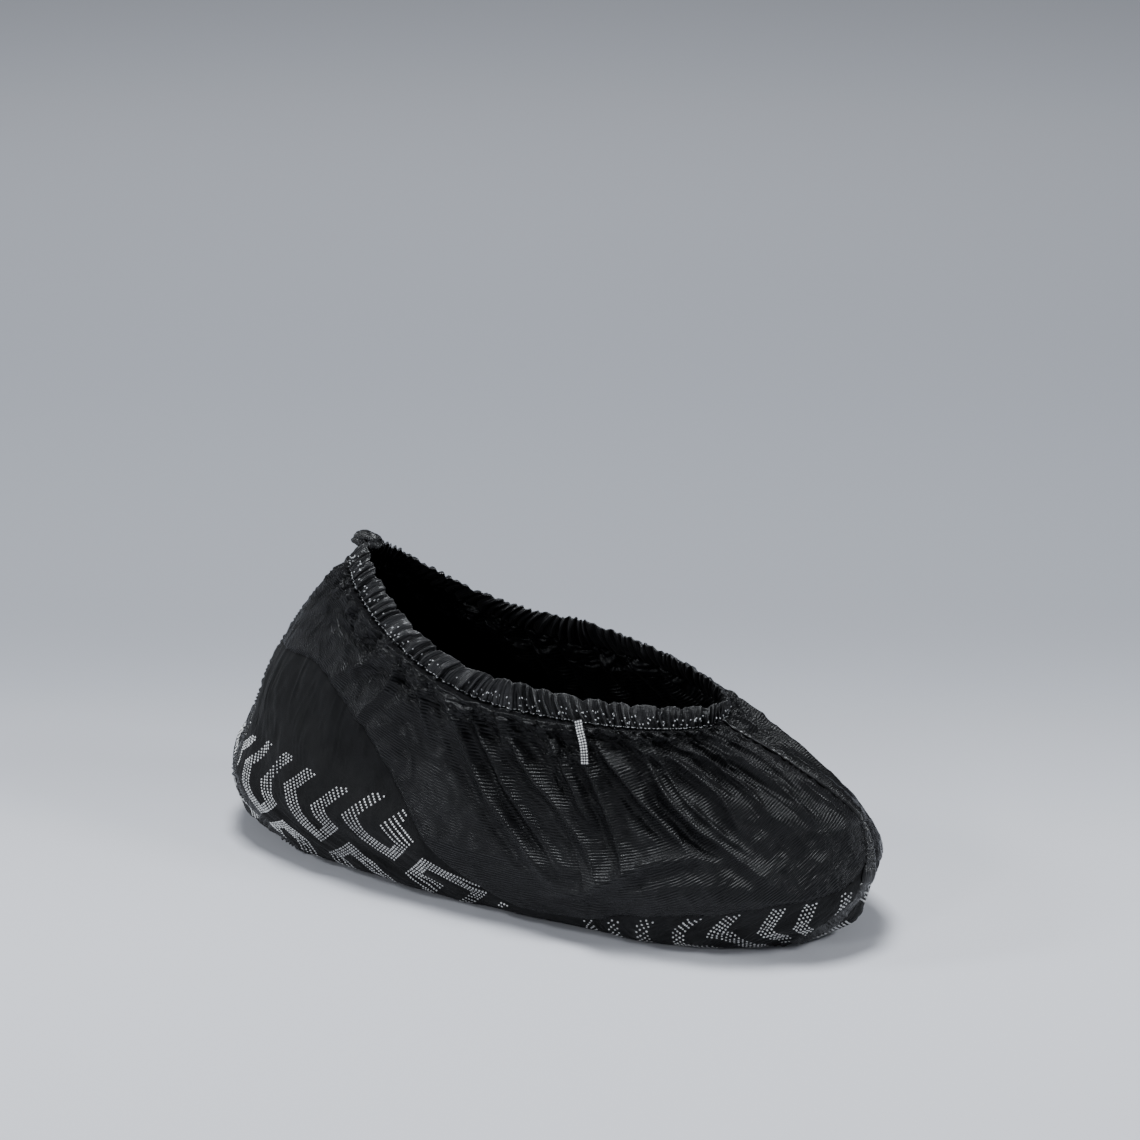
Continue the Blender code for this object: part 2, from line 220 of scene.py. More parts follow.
FAR_FOLDS = (
    ((110, 5.85, 108, 5.3, 104, 4.7, 101, 4.1, 97, 3.4, 95, 2.9), 2.5, 3.3),
    ((101, 5.7, 100, 5.2, 97, 4.6, 95, 3.9, 92, 3.3), 2.1, 2.7),
    ((92, 5.8, 91, 5.3, 91, 4.7, 87, 4.1, 84, 3.4), 2.3, 3.1),
    ((82, 5.7, 81, 5.1, 80, 4.5, 76, 3.9, 75, 3.4), 2.0, 2.8),
    ((72, 5.7, 71, 5.2, 66, 4.6, 64, 4.0, 58, 3.5), 2.3, 3.0),
    ((60, 5.8, 60, 5.3, 57, 4.6, 51, 4.0, 43, 3.4), 2.2, 2.8),
    ((50, 5.8, 49, 5.2, 45, 4.7, 44, 4.2), 1.9, 2.6),
    ((38, 5.85, 37, 5.3, 33, 4.8, 31, 4.3), 2.1, 2.7),
    ((24, 5.8, 24, 5.2, 20, 4.7, 22, 4.3), 1.8, 2.4),
    ((11, 5.7, 12, 5.2, 14, 4.7), 1.4, 2.2),
    ((90, 2.7, 82, 3.1, 70, 3.5, 56, 3.6), 1.5, 3.4),
    ((119, 5.8, 118, 5.3, 113, 4.7, 111, 4.3), 1.8, 2.8),
    ((128, 5.8, 128, 5.3, 134, 4.8), 1.5, 2.6),
    ((140, 5.9, 141, 5.4, 147, 4.9), 1.3, 2.4),
    ((154, 5.9, 155, 5.4, 161, 4.9), 1.1, 2.2),
    ((124, 4.45, 115, 4.4, 107, 4.2), 0.9, 3.4),
)


def fold_lift(points, normal, side):
    """Outward lift in metres of the crest lines of one half, with a hollow beside each."""
    flat, out = points.reshape(-1, 3), normal.reshape(-1, 3)
    lift = np.zeros(len(flat))
    for stops, height, half_width in (NEAR_FOLDS if side > 0 else FAR_FOLDS):
        stops = np.array(stops).reshape(-1, 2)
        share = np.linspace(0, 1, len(stops))
        fine = np.linspace(0, 1, 26)
        turn, level = np.interp(fine, share, stops[:, 0]), np.interp(fine, share, stops[:, 1])
        for _ in range(2):
            turn[1:-1] = (turn[:-2] + 2 * turn[1:-1] + turn[2:]) / 4
            level[1:-1] = (level[:-2] + 2 * level[1:-1] + level[2:]) / 4
        turn = np.radians(turn if side > 0 else 360 - turn)
        line = worn_shape(turn, level)
        nearest = np.full(len(flat), 1.0)
        beside = np.zeros(len(flat))
        place = np.zeros(len(flat))
        for i in range(len(line) - 1):
            a, b = line[i], line[i + 1]
            run = b - a
            t = np.clip((flat - a) @ run / (run @ run), 0, 1)
            gap = flat - a - t[:, None] * run
            far = length(gap)
            closer = far < nearest
            nearest = np.where(closer, far, nearest)
            beside = np.where(closer, np.cross(out, gap) @ unit(run), beside)
            place = np.where(closer, (i + t) / (len(line) - 1), place)
        taper = np.sin(math.pi * np.clip(0.10 + 0.84 * place, 0, 1)) ** 0.8
        reach = nearest / (half_width * FOLD_WIDTH)
        crest = np.exp(-(np.sqrt(reach**2 + 0.030) - 0.173))
        hollow = np.exp(-((beside / (half_width * 0.001) - 1.7) / 1.1) ** 2)
        hollow = hollow + 0.5 * np.exp(-((beside / (half_width * 0.001) + 2.0) / 1.2) ** 2)
        near_line = np.exp(-np.maximum(reach - 3, 0))
        lift = lift + FOLD_HEIGHT * height * taper * (crest - 0.36 * hollow * near_line)
    return lift.reshape(points.shape[:-1])


# Round-bottomed puffs that hang from the stitches: pleats to one puff, shift,
# longest drop and depth in metres.
PUFFS = ((2.1, 0.0, 0.0085, 0.0024), (3.7, 0.4, 0.0160, 0.0029))


def gather_lift(angle, drop):
    """Small gathers below the casing that merge into fewer, wider ones further down."""
    count = pleat_turn(angle)
    sway = 0.30 * cloth_noise(angle * 9, drop * 90, 5)
    lift = 0.00060 * np.cos(2 * math.pi * (count + sway)) * np.exp(-drop / 0.0030)
    chance = np.random.default_rng(17).uniform(0, 1, (256, 3))
    for share, shift, longest, depth in PUFFS:
        place = count / share + shift + 0.22 * cloth_noise(angle * 11 + share, drop * 70, 11)
        cell = np.floor(place).astype(int)
        beside = 2 * (place - cell) - 1
        own = chance[cell % 256]
        edge = longest * (0.45 + 0.75 * own[..., 0]) * (1 - 0.42 * beside**2)
        body = np.sqrt(np.maximum(1 - beside**2, 0))
        below = 1 - smooth_step(edge - 0.0008, edge + 0.0009, drop)
        lift = lift + depth * (0.35 + 0.75 * own[..., 1]) * body * below * smooth_step(0.0, 0.0014, drop)
    wider = count / 4.6 + 0.5 * cloth_noise(angle * 8 + 3, drop * 30, 23)
    ridge = 1 - 2.0 * np.abs(np.sin(math.pi * wider)) ** 0.6
    strength = 0.60 + 0.45 * cloth_noise(angle * 5, drop * 10, 31)
    return lift + 0.0021 * ridge * strength * (
        smooth_step(0.002, 0.010, drop) * np.exp(-np.maximum(drop - 0.013, 0) / 0.015))


def seam_pucker(angle, level, from_seam):
    """Groove and short gathers where the two halves are sewn together."""
    beat = level * 17 + 1.4 * np.sin(level * 5.3) + 0.8 * np.sin(level * 11.7)
    wave = 1 - 1.8 * np.abs(np.sin(math.pi * beat * 0.5 + 0.6 * np.cos(angle)))
    groove = -0.0016 * np.exp(-(from_seam / 0.0016) ** 2)
    return groove + 0.0009 * wave * np.exp(-from_seam / 0.0042)


def cloth_surface(angle, level, side):
    """Outer face of the worn cloth of one half on a grid of angles and levels."""
    base = worn_shape(angle, level)
    normal = outward(angle, level)
    lift = fold_lift(base, normal, side)
    foot = worn_shape(angle, np.full_like(level, CASING_FOOT))
    drop = length(base - foot)
    lift = lift * smooth_step(0.0, 0.006, drop) + gather_lift(angle, drop)
    slow = cloth_noise(angle * 5 + 40 * (side < 0), level * 1.6, 41)
    slow = slow + 0.5 * cloth_noise(angle * 12, level * 3.1 + 9, 43)
    lift = lift + 0.0014 * slow * smooth_step(0.002, 0.02, drop)
    bent = 2.0 * cloth_noise(angle * 9, level * 2, 53)
    crumple = 1 - 2 * np.abs(cloth_noise(angle * 24 + bent, level * 4.5 + bent, 59)) ** 0.7
    lift = lift + crumple * (0.00085 * np.exp(-drop / 0.022) + 0.00025) * smooth_step(0.0, 0.004, drop)
    small = cloth_noise(angle * 34 + level * 7, level * 5 - angle * 4, 47)
    lift = lift + 0.00022 * small
    toe = 0.0 if side > 0 else 2 * math.pi
    from_toe, from_heel = (length(base - worn_shape(np.full_like(level, end), level))
                           for end in (toe, math.pi))
    from_seam = np.minimum(from_toe, from_heel)
    lift = lift * smooth_step(0.0, 0.010, from_seam)
    lift = lift + seam_pucker(angle, level, from_seam)
    lift = lift * smooth_step(0.9, 1.9, level)
    return base + normal * lift[..., None], normal


def grid_normal(grid):
    return unit(np.cross(np.gradient(grid, axis=0), np.gradient(grid, axis=1)))


def quads(a, b, c, d):
    """Four-cornered faces from grids of their corners' numbers."""
    return np.stack([a, b, c, d], -1).reshape(-1, 4)


def in_scene(name, data):
    """New object of the scene."""
    item = bpy.data.objects.new(name, data)
    bpy.context.scene.collection.objects.link(item)
    return item


def smooth_piece(name, points, faces, material, grain=None):
    """Smooth-shaded piece; grain is the flat place in metres of each of its points."""
    mesh = bpy.data.meshes.new(name)
    mesh.from_pydata(points.reshape(-1, 3).tolist(), [], faces)
    if grain is not None:
        corners = np.empty(len(mesh.loops), dtype=np.int32)
        mesh.loops.foreach_get("vertex_index", corners)
        layer = mesh.uv_layers.new(name="cloth_grain")
        layer.uv.foreach_set("vector", grain.reshape(-1, 2)[corners].ravel().astype(np.float32))
    mesh.shade_smooth()
    mesh.materials.append(material)
    return in_scene(name, mesh)


def cloth_mesh(name, outer, thickness, grain, material):
    """Thin double-faced cloth from a grid of points; grain is its flat place in metres."""
    rows, columns = outer.shape[:2]
    inner = outer - grid_normal(outer) * thickness
    points = np.concatenate([outer.reshape(-1, 3), inner.reshape(-1, 3)])
    index = np.arange(rows * columns).reshape(rows, columns)
    a, b, c, d = index[:-1, :-1], index[:-1, 1:], index[1:, 1:], index[1:, :-1]
    size = rows * columns
    faces = [quads(a, b, c, d), quads(a, d, c, b) + size]
    border = np.concatenate([index[0, :-1], index[:-1, -1], index[-1, :0:-1], index[:0:-1, 0]])
    after = np.roll(border, -1)
    faces.append(quads(border, border + size, after + size, after))
    faces = np.concatenate(faces)
    middle = outer[rows // 2, columns // 2]
    if (grid_normal(outer)[rows // 2, columns // 2] * (middle - [0.0, 0.0, 0.06])).sum() < 0:
        faces = faces[:, ::-1]
    both_faces = np.concatenate([grain.reshape(-1, 2)] * 2)
    return smooth_piece(name, points, faces.tolist(), material, both_faces)


FLAT_COLUMNS, FLAT_ROWS, FLATTEN_ROUNDS = 60, 26, 1500


def flattened_half(side):
    """Lay one half of the worn shape flat with as little stretch as possible."""
    start = 0.0 if side > 0 else math.pi
    angle = start + np.linspace(0, math.pi, FLAT_COLUMNS + 1)[None, :]
    level = np.linspace(0, CASING_TOP, FLAT_ROWS + 1)[:, None]
    solid = worn_shape(angle, level)
    rim = worn_shape(angle, np.full_like(level, EDGE_LEVEL))[0]
    out = np.stack([np.cos(angle[0]) * 0.8, -np.sin(angle[0])], 1)
    out = unit(out)
    run = np.concatenate([np.zeros((1, solid.shape[1])),
                          np.cumsum(length(np.diff(solid, axis=0)), axis=0)])
    rim_run = np.array([np.interp(EDGE_LEVEL, level[:, 0], run[:, k]) for k in range(run.shape[1])])
    flat = rim[None, :, :2] + out[None] * (run - rim_run)[..., None]
    whole, low, high = slice(None), slice(0, -1), slice(1, None)
    links = (((whole, low), (whole, high)), ((low, whole), (high, whole)),
             ((low, low), (high, high)), ((high, low), (low, high)))
    rest = [length(solid[a] - solid[b]) for a, b in links]
    for _ in range(FLATTEN_ROUNDS):
        shift = np.zeros_like(flat)
        count = np.zeros(flat.shape[:2])
        for (a, b), wanted in zip(links, rest):
            gap = flat[b] - flat[a]
            size = np.maximum(length(gap), 1e-9)
            move = gap * (0.5 * (size - wanted) / size)[..., None]
            shift[a] += move
            shift[b] -= move
            count[a] += 1
            count[b] += 1
        flat = flat + 1.3 * shift / count[..., None]
    if side < 0:
        flat = -flat
    flat[..., 1] = -flat[..., 1]
    return flat


flat_halves = {side: flattened_half(side) for side in (1, -1)}


def flat_place(angle, level, side):
    """Place in metres of points of the worn shape on the flat cut half."""
    flat = flat_halves[side]
    start = 0.0 if side > 0 else math.pi
    u = np.clip((angle - start) / math.pi * FLAT_COLUMNS, 0, FLAT_COLUMNS - 1e-6)
    v = np.clip(level / CASING_TOP * FLAT_ROWS, 0, FLAT_ROWS - 1e-6)
    iu, iv = np.floor(u).astype(int), np.floor(v).astype(int)
    fu, fv = (u - iu)[..., None], (v - iv)[..., None]
    return ((flat[iv, iu] * (1 - fu) + flat[iv, iu + 1] * fu) * (1 - fv)
            + (flat[iv + 1, iu] * (1 - fu) + flat[iv + 1, iu + 1] * fu) * fv)


def shader_node(tree, kind, inputs=None, **settings):
    """New node with its settings, its inputs set or linked."""
    item = tree.nodes.new("ShaderNode" + kind)
    for key, value in settings.items():
        setattr(item, key, value)
    for key, value in (inputs or {}).items():
        if isinstance(value, bpy.types.NodeSocket):
            tree.links.new(value, item.inputs[key])
        else:
            item.inputs[key].default_value = value
    return item


def maths(tree, operation, *values):
    """Output of a new Math node."""
    return shader_node(tree, "Math", dict(enumerate(values)), operation=operation).outputs[0]


def mapped(tree, value, low, high, first, last, **settings):
    """Output that goes from first to last as the value goes from low to high."""
    inputs = {0: value, 1: low, 2: high, 3: first, 4: last}
    return shader_node(tree, "MapRange", inputs, **settings).outputs[0]


def noise(tree, place, scale, detail):
    """Output of a new noise texture."""
    return shader_node(tree, "TexNoise", {"Vector": place, "Scale": scale, "Detail": detail}).outputs["Fac"]


def node_material(name):
    """New material with its node tree and its shader."""
    material = bpy.data.materials.new(name)
    material.use_nodes = True
    return material, material.node_tree, material.node_tree.nodes["Principled BSDF"]


def blend_colour(tree, share, first, second):
    """Output that goes from the first colour to the second."""
    mix = shader_node(tree, "Mix", {0: share, 6: (*first, 1), 7: (*second, 1)}, data_type="RGBA")
    return mix.outputs[2]


def ribbed_weave_group():
    """Height and tone of a fine ribbed weave from its flat place in metres."""
    group = bpy.data.node_groups.new("ribbed_weave", "ShaderNodeTree")
    face = group.interface
    face.new_socket(name="Place", in_out="INPUT", socket_type="NodeSocketVector")
    for name in ("Rib pitch mm", "Weft pitch mm", "Weft share", "Wander"):
        face.new_socket(name=name, in_out="INPUT", socket_type="NodeSocketFloat")
    for name in ("Height", "Rib", "Slub"):
        face.new_socket(name=name, in_out="OUTPUT", socket_type="NodeSocketFloat")
    start = group.nodes.new("NodeGroupInput").outputs
    end = group.nodes.new("NodeGroupOutput").inputs
    off = maths(group, "SUBTRACT", noise(group, start["Place"], 38.0, 3.0), 0.5)
    off = maths(group, "MULTIPLY", off, start["Wander"])
    split = shader_node(group, "SeparateXYZ", {0: start["Place"]})
    waves = []
    for axis, pitch in (("Y", "Rib pitch mm"), ("X", "Weft pitch mm")):
        mm = maths(group, "ADD", maths(group, "MULTIPLY", split.outputs[axis], 1000.0), off)
        turns = maths(group, "MULTIPLY", maths(group, "DIVIDE", mm, start[pitch]), 2 * math.pi)
        waves.append(mapped(group, maths(group, "SINE", turns), -1.0, 1.0, 0.0, 1.0))
    height = maths(group, "ADD", waves[0], maths(group, "MULTIPLY", waves[1], start["Weft share"]))
    group.links.new(height, end["Height"])
    group.links.new(waves[0], end["Rib"])
    group.links.new(noise(group, start["Place"], 150.0, 4.0), end["Slub"])
    return group


ribbed_weave = ribbed_weave_group()


def woven_cloth(name, dark, light, rough, rough_span, rib, weft, weft_share, bump, sheen, gleam):
    """Black woven cloth whose ribs catch the light, with slubs and rubbed places."""
    material, tree, shader = node_material(name)
    place = shader_node(tree, "UVMap", uv_map="cloth_grain")
    weave = shader_node(tree, "Group", node_tree=ribbed_weave)
    tree.links.new(place.outputs[0], weave.inputs["Place"])
    weave.inputs["Rib pitch mm"].default_value = rib
    weave.inputs["Weft pitch mm"].default_value = weft
    weave.inputs["Weft share"].default_value = weft_share
    weave.inputs["Wander"].default_value = 1.6
    spot = shader_node(tree, "TexCoord").outputs["Object"]
    tone = maths(tree, "ADD", maths(tree, "MULTIPLY", weave.outputs["Rib"], 0.55), weave.outputs["Slub"])
    tone = maths(tree, "MULTIPLY", tone, noise(tree, spot, 22.0, 5.0))
    ramp = mapped(tree, tone, 0.10, 0.75, 0.0, 1.0)
    tree.links.new(blend_colour(tree, ramp, dark, light), shader.inputs["Base Color"])
    gloss = mapped(tree, tone, 0.10, 0.80, rough + rough_span, rough - rough_span)
    tree.links.new(gloss, shader.inputs["Roughness"])
    relief = shader_node(tree, "Bump", {"Height": weave.outputs["Height"], "Strength": bump,
                                        "Distance": 0.00025})
    relief = shader_node(tree, "Bump", {"Height": noise(tree, spot, 160.0, 6.0), "Strength": 0.34,
                                        "Distance": 0.0012, "Normal": relief.outputs[0]})
    tree.links.new(relief.outputs[0], shader.inputs["Normal"])
    shader.inputs["Sheen Weight"].default_value = sheen
    shader.inputs["Sheen Roughness"].default_value = 0.4
    shader.inputs["Specular IOR Level"].default_value = gleam
    return material


shiny_ribbed_nylon = woven_cloth(
    "shiny_ribbed_nylon", dark=(0.0020, 0.0020, 0.0022), light=(0.0105, 0.0105, 0.0115), rough=0.26,
    rough_span=0.09, rib=1.10, weft=0.66, weft_share=0.30, bump=0.80, sheen=0.01, gleam=0.19)

for half, side, start in HALVES:
    angle = start + np.linspace(0, math.pi, SIDE_COLUMNS + 1)[None, :]
    share = 1 - (1 - np.linspace(0, 1, SIDE_ROWS + 1)[:, None]) ** 1.3
    seam = panel_seam(angle)
    level = seam + (CASING_FOOT - seam) * share
    angle = np.broadcast_to(angle, level.shape)
    outer, normal = cloth_surface(angle, level, side)
    tuck = 0.0011 * np.exp(-(share * 60) ** 2)
    outer = outer - normal * tuck[..., None]
    panel = cloth_mesh(half + "_shiny_side", outer, CLOTH, flat_place(angle, level, side), shiny_ribbed_nylon)
    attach(panel, "root")
    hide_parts(half + "_upper")

# Matte printed lower panels
# Two mirrored lower panels of dull tight-woven cloth that make the sole and
# climb the heel and the toe. They are lapped under the side panels and sewn.

LOWER_COLUMNS, LOWER_ROWS = 480, 60
# The seam under the sole runs nearer to the near side, so the far panel is the wider one.
lower_grids = {}
matte_twill = woven_cloth(
    "matte_twill", dark=(0.0030, 0.0030, 0.0032), light=(0.0090, 0.0090, 0.0095), rough=0.60,
    rough_span=0.07, rib=0.55, weft=0.55, weft_share=0.8, bump=0.45, sheen=0.03, gleam=0.16)

for half, side, start in HALVES:
    angle = start + np.linspace(0, math.pi, LOWER_COLUMNS + 1)[None, :]
    share = np.linspace(0, 1, LOWER_ROWS + 1)[:, None]
    seam = panel_seam(angle) + 0.05
    level = share * seam
    angle = np.broadcast_to(angle, level.shape)
    outer, normal = cloth_surface(angle, level, side)
    lap = 0.0010 * smooth_step(0.80, 1.0, share) * np.ones_like(level)
    outer = outer - normal * lap[..., None]
    outer[..., 2] = np.maximum(outer[..., 2], 0.0006)
    lower_grids[side] = (angle, level, outer)
    panel = cloth_mesh(half + "_printed_lower", outer, CLOTH, flat_place(angle, level, side), matte_twill)
    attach(panel, "root")
    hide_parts(half + "_sole")

# Gathered collar casing
# A hem folded over a narrow elastic and stitched along its foot. The elastic
# pulls it into close upright pleats with a scalloped top edge.

CASING_COLUMNS = PLEATS * 10
CASING_THICK = 0.0026
PLEAT_DEPTH = 0.00125
SCALLOP_HEIGHT, SCALLOP_PLEATS = 0.0019, 3.1
# Width in metres of the flat hem in one column of the pleated one.
FLAT_STEP = 0.00040

angle = np.linspace(0, 2 * math.pi, CASING_COLUMNS, endpoint=False)[None, :]
# Round the hem's section: up the outside, over the folded top, down the inside.
out_side = np.linspace(0, 1, 15)
over_top = np.linspace(0, math.pi, 7)[1:-1]
section = ([(h, 0.5) for h in out_side] + [(1.0 + 0.12 * math.sin(t), 0.5 * math.cos(t)) for t in over_top]
           + [(h, -0.5) for h in out_side[::-1][::2]])
upward = unit(worn_shape(angle, np.full_like(angle, CASING_TOP))
              - worn_shape(angle, np.full_like(angle, CASING_TOP - 0.4)))[0]
rows = []
for high, across in section:
    level = np.full_like(angle, CASING_FOOT + min(high, 1.0) * (CASING_TOP - CASING_FOOT))
    point, normal = worn_shape(angle, level)[0], outward(angle, level)[0]
    sway = 0.20 * cloth_noise(angle[0] * 20, high * 2.0 + np.zeros_like(angle[0]), 3)
    turn = pleat_turn(angle[0]) + sway
    pleat = np.cos(2 * math.pi * turn)
    pleat = 1 - 2 * (0.5 - 0.5 * pleat) ** 0.72
    own = 0.85 + 0.50 * cloth_noise(np.floor(turn) * 1.0, np.zeros_like(turn), 19)
    swell = 0.45 + 0.55 * math.sin(math.pi * min(max(high, 0.0), 1.0)) ** 0.7
    ease = CASING_THICK * across * swell * 0.9
    lift = PLEAT_DEPTH * pleat * own * (1.0 - 0.38 * smooth_step(0.6, 1.0, high) - 3.0 * max(high - 1.0, 0.0))
    scallop = np.sqrt(np.abs(np.cos(math.pi * turn / SCALLOP_PLEATS + 0.6 * np.sin(angle[0] * 5))))
    rise = max(high - 1.0, 0.0) * 0.010 + SCALLOP_HEIGHT * (scallop - 0.6) * smooth_step(0.6, 1.0, high)
    rise = rise + 0.00030 * pleat * own * smooth_step(0.5, 1.0, high)
    rows.append(point + normal * (ease + lift - 0.0006)[:, None] + upward * np.asarray(rise)[:, None])
hem = np.stack(rows)
index = np.arange(hem.shape[0] * hem.shape[1]).reshape(hem.shape[:2])
down = np.roll(index, -1, axis=0)
faces = quads(index, np.roll(index, -1, axis=1), np.roll(down, -1, axis=1), down)
grain = spread(run_along(hem[:, 0])[:, None], np.arange(CASING_COLUMNS) * FLAT_STEP)
# The hem's light colour, well above the side panels', is partly painted highlight for the bright pleat rims,
# besides the weave's own tone.
gathered_hem_nylon = woven_cloth(
    "gathered_hem_nylon", dark=(0.0030, 0.0030, 0.0033), light=(0.0260, 0.0260, 0.0275), rough=0.30,
    rough_span=0.08, rib=0.90, weft=0.60, weft_share=0.3, bump=0.5, sheen=0.03, gleam=0.45)
casing = smooth_piece("gathered_casing", hem, faces.tolist(), gathered_hem_nylon, grain)
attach(casing, "root")
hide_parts("collar_casing")

# Centre seam
# The two halves are joined by a narrow elastic seam that climbs the heel, runs
# under the sole and over the toe. It draws the cloth into short glossy puckers.

SEAM_STEPS = 900
SEAM_BREADTH = 17
SEAM_TOP, CLIMB_STEPS = 5.97, 420

climb = np.linspace(SEAM_TOP, 0.0, CLIMB_STEPS)
path = np.array([(math.pi, level) for level in climb] + [(0.0, level) for level in climb[-2::-1]])
line = worn_shape(path[:, 0], path[:, 1])
out = unit(outward(path[:, 0] - 0.02, path[:, 1]) + outward(path[:, 0] + 0.02, path[:, 1]))
# The slit under the sole is a straight run between the two ends of the seam.
slit = np.linspace(line[CLIMB_STEPS - 1], line[CLIMB_STEPS], 160)[1:-1]
line = np.concatenate([line[:CLIMB_STEPS], slit, line[CLIMB_STEPS:]])
out = np.concatenate([out[:CLIMB_STEPS], np.tile([0.0, 0.0, -1.0], (len(slit), 1)), out[CLIMB_STEPS:]])
high = np.concatenate([path[:CLIMB_STEPS, 1], np.zeros(len(slit)), path[CLIMB_STEPS:, 1]])
at_toe = np.concatenate([np.zeros(CLIMB_STEPS + len(slit)), np.ones(len(path) - CLIMB_STEPS)])
run = run_along(line)
even = np.linspace(0, run[-1], SEAM_STEPS)
line = points_at(even, run, line)
out = unit(points_at(even, run, out))
high = np.interp(even, run, high)
at_toe = np.interp(even, run, at_toe)
ahead = unit(np.gradient(line, axis=0))
aside = unit(np.cross(out, ahead))
heel_breadth = np.interp(high, (0, 1.5, 2.4, 3.4, 4.2, 5.0, 6), (3.4, 4.2, 4.4, 3.6, 2.4, 1.2, 0.7))
toe_breadth = np.interp(high, (0, 1.2, 2.2, 3.0, 3.6, 4.4, 6), (3.4, 4.2, 5.0, 4.6, 3.0, 1.0, 0.7))
breadth = 0.001 * (heel_breadth * (1 - at_toe) + toe_breadth * at_toe)
across = np.linspace(-1, 1, SEAM_BREADTH)[None, :]
beat = even * 260 + 0.9 * np.sin(even * 150) + 0.6 * np.sin(even * 410 + 1)
wave = np.cos(2 * math.pi * beat[:, None] + 1.1 * across
              + 0.8 * cloth_noise(beat[:, None] * 0.7, across * 1.5 + 9, 61))
ease = 0.8 + 0.4 * cloth_noise(beat[:, None] * 0.5, across * 2, 67)
crown = (1 - across**2) ** 0.6 * (0.50 + 0.24 * breadth[:, None] * 1000) * 0.001
valley = -0.0006 * np.exp(-(across / 0.16) ** 2) * smooth_step(0.0012, 0.0026, breadth)[:, None]
pucker = 0.00022 * breadth[:, None] * 1000 * wave * ease * (1 - np.abs(across) ** 3)
rise = crown + valley + pucker - 0.0005 * np.abs(across) ** 4 - 0.0006
edge_wave = 1 + 0.10 * np.sin(2 * math.pi * beat + 0.7)[:, None] * np.sign(across)
strip = line[:, None] + aside[:, None] * (across * breadth[:, None] * edge_wave)[..., None]
strip = strip + out[:, None] * rise[..., None]
strip[..., 2] = np.maximum(strip[..., 2], 0.0002)
grain = spread(even[:, None], across * breadth[:, None])
# The seam's light colour, above the side panels', is partly painted highlight on the puckers, besides the
# weave's own tone.
puckered_seam_nylon = woven_cloth(
    "puckered_seam_nylon", dark=(0.0040, 0.0040, 0.0043), light=(0.0160, 0.0160, 0.0170), rough=0.26,
    rough_span=0.08, rib=0.80, weft=0.55, weft_share=0.4, bump=0.4, sheen=0.02, gleam=0.45)
seam_strip = cloth_mesh("centre_seam", strip, CLOTH, grain, puckered_seam_nylon)
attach(seam_strip, "root")

# Printed grip dots
# Rows of small raised rubber dots printed on the lower panels in a repeat of
# hooked bars, four dots wide, so that the cover doesn't slip on a smooth floor.

DOT_RADIUS = 0.00051
DOT_HEIGHT = 0.00026
# Dots start where the centre seam's band ends.
SEAM_CLEARANCE = 0.0042
# One hook in dots, legs upright: first and last dot of each row of a bar.
HOOK_ROWS = {j: [(0, 3)] for j in range(23)}
for j, end in ((19, 10), (20, 9), (21, 9), (22, 8), (0, 10), (1, 10), (2, 10), (3, 10)):
    HOOK_ROWS[j] = [(0, end)]
for j in range(4, 12):
    HOOK_ROWS[j] = [(0, 3), (7, 10)]
for j, end in ((8, 17), (9, 17), (10, 16), (11, 15)):
    HOOK_ROWS[j] = [(0, 3), (7, end)]
HOOK = np.array([(i, j) for j, spans in sorted(HOOK_ROWS.items()) for first, last in spans
                 for i in range(first, last + 1)], dtype=float)
# Step in dots from a hook to the next, and place of each hook's turned twin.
HOOK_STEP = np.array([14.2, -19.8])
TWIN_HOOK = np.array([-6.5, 13.7])
# Millimetres between dots, and cosine and sine of the turn of the rows of hooks.
DOT_PITCH = 1.43
ROW_COS, ROW_SIN = 0.583, 0.812
# Tips of the near print's bars round the toe, in millimetres: place along the
# sole's edge, height above it, place on the print and slant of the columns.
TOE_TIPS = (
    (-10, -8.5, 70.0, -0.10), (9.6, 0.2, 93.5, 0.0), (24.5, 5.3, 110.3, 0.2), (37.8, 10.3, 128.0, 0.4),
    (50.1, 16.8, 145.4, 0.6), (62.0, 22.8, 163.2, 0.8), (74.2, 26.3, 180.2, 0.9), (86.5, 28.1, 198.0, 1.0),
    (104.0, 29.5, 220.0, 1.0),
)


def edge_place(angle, level):
    """Place along the sole's edge and height above it, in millimetres, of one half's points."""
    run = run_along(worn_shape(angle[0], np.full_like(angle[0], EDGE_LEVEL))) * 1000
    if angle[0, 0] < 1.0:
        along = np.interp(math.pi / 2, angle[0], run) - run
    else:
        along = run - np.interp(math.pi * 1.5, angle[0], run)
    rise = length(np.diff(worn_shape(angle, level), axis=0)) * 1000
    from_slit = np.concatenate([np.zeros((1, level.shape[1])), np.cumsum(rise, axis=0)])
    steps = np.linspace(0, EDGE_LEVEL, 45)[:, None] * np.ones_like(angle[:1])
    column = worn_shape(np.broadcast_to(angle[:1], steps.shape), steps)
    to_edge = length(np.diff(column, axis=0)).sum(axis=0) * 1000
    return along * np.ones_like(from_slit), from_slit - to_edge


def printed_place(angle, level, where):
    """Place in dots, on the repeat of hooks, of every point of a lower panel.

    The print is bent at the near toe and heel, as the photograph shows it.
    """
    along, above = edge_place(angle, level)
    if where == "toe":
        table = np.array(TOE_TIPS)
        tips, start, slant = (np.interp(along, table[:, 0], table[:, k]) for k in (1, 2, 3))
        p = start + slant * (above - tips)
        q = 23.7 + 0.38 * (above - tips)
    elif where == "heel":
        bend = np.stack([along * along, along * above, above * above], -1) / 200
        p = 98.5 + 0.763 * along - 0.457 * above + bend @ np.array([-0.128, 0.869, 0.264])
        q = -41.0 - 0.573 * along + 1.163 * above + bend @ np.array([-0.499, 1.151, 0.128])
        q = q + 0.010 * np.maximum(-118 - along, 0) * np.maximum(above, 0)
    else:
        p = 11 - along
        q = above - 7 + 0.065 * along
    return np.stack([-ROW_COS * p - ROW_SIN * q, ROW_SIN * p - ROW_COS * q], -1) / DOT_PITCH


